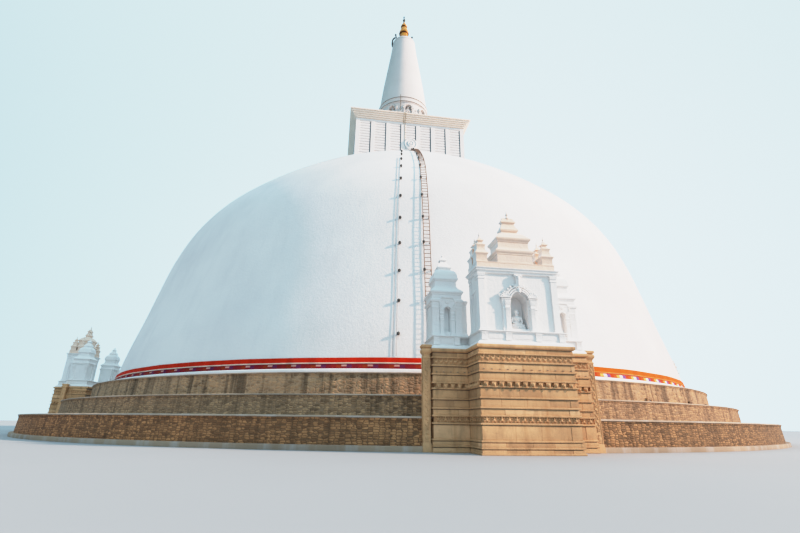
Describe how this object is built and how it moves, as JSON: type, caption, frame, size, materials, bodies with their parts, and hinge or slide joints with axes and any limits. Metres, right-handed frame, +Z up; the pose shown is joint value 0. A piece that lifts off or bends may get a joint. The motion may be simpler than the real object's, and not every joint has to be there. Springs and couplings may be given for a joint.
{
  "type": "stupa scale model at 1:10",
  "caption": "White domed stupa on round masonry terraces, with a square chamber, cone spire, gilt finial and a carved frontispiece on each side",
  "frame": {"origin": "centre of the lowest terrace's flat underside, on the ground", "axes": "+Z is up along the axis of the dome and spire; the front frontispiece faces -Y, the right one +X, the back one +Y and the left one -X"},
  "size_m": [9.752, 9.752, 8.62],
  "materials": {
    "weathered_masonry": "rough weathered brick and rubble masonry",
    "limewash": "matt white limewash on lime plaster",
    "carved_stone": "weathered carved limestone",
    "orange_cloth": "woven cotton cloth",
    "gilding": "dull gilding",
    "crystal": "clear crystal",
    "rusted_steel": "worn brown paint over rusted steel"
  },
  "bodies": {
    "root": {"lower_terrace": "weathered_masonry", "middle_terrace": "weathered_masonry", "upper_terrace": "weathered_masonry", "dome": "limewash", "dome_foot_ring": "limewash", "cloth_band": "orange_cloth", "chamber": "limewash", "chamber_cornice": "limewash", "deity_drum": "limewash", "spire": "limewash", "spire_crown": "limewash", "gilt_finial": "gilding", "crystal_tip": "crystal", "dome_ladder": "rusted_steel", "front_stone_base": "carved_stone", "front_stele_left": "carved_stone", "front_stele_right": "carved_stone", "front_shrine": "limewash", "front_shrine_roof": "limewash", "front_chapel_left": "limewash", "front_chapel_right": "limewash", "front_seated_figure": "limewash", "right_stone_base": "carved_stone", "right_stele_left": "carved_stone", "right_stele_right": "carved_stone", "right_shrine": "limewash", "right_shrine_roof": "limewash", "right_chapel_left": "limewash", "right_chapel_right": "limewash", "right_seated_figure": "limewash", "back_stone_base": "carved_stone", "back_stele_left": "carved_stone", "back_stele_right": "carved_stone", "back_shrine": "limewash", "back_shrine_roof": "limewash", "back_chapel_left": "limewash", "back_chapel_right": "limewash", "back_seated_figure": "limewash", "left_stone_base": "carved_stone", "left_stele_left": "carved_stone", "left_stele_right": "carved_stone", "left_shrine": "limewash", "left_shrine_roof": "limewash", "left_chapel_left": "limewash", "left_chapel_right": "limewash", "left_seated_figure": "limewash"}
  },
  "joints": []
}
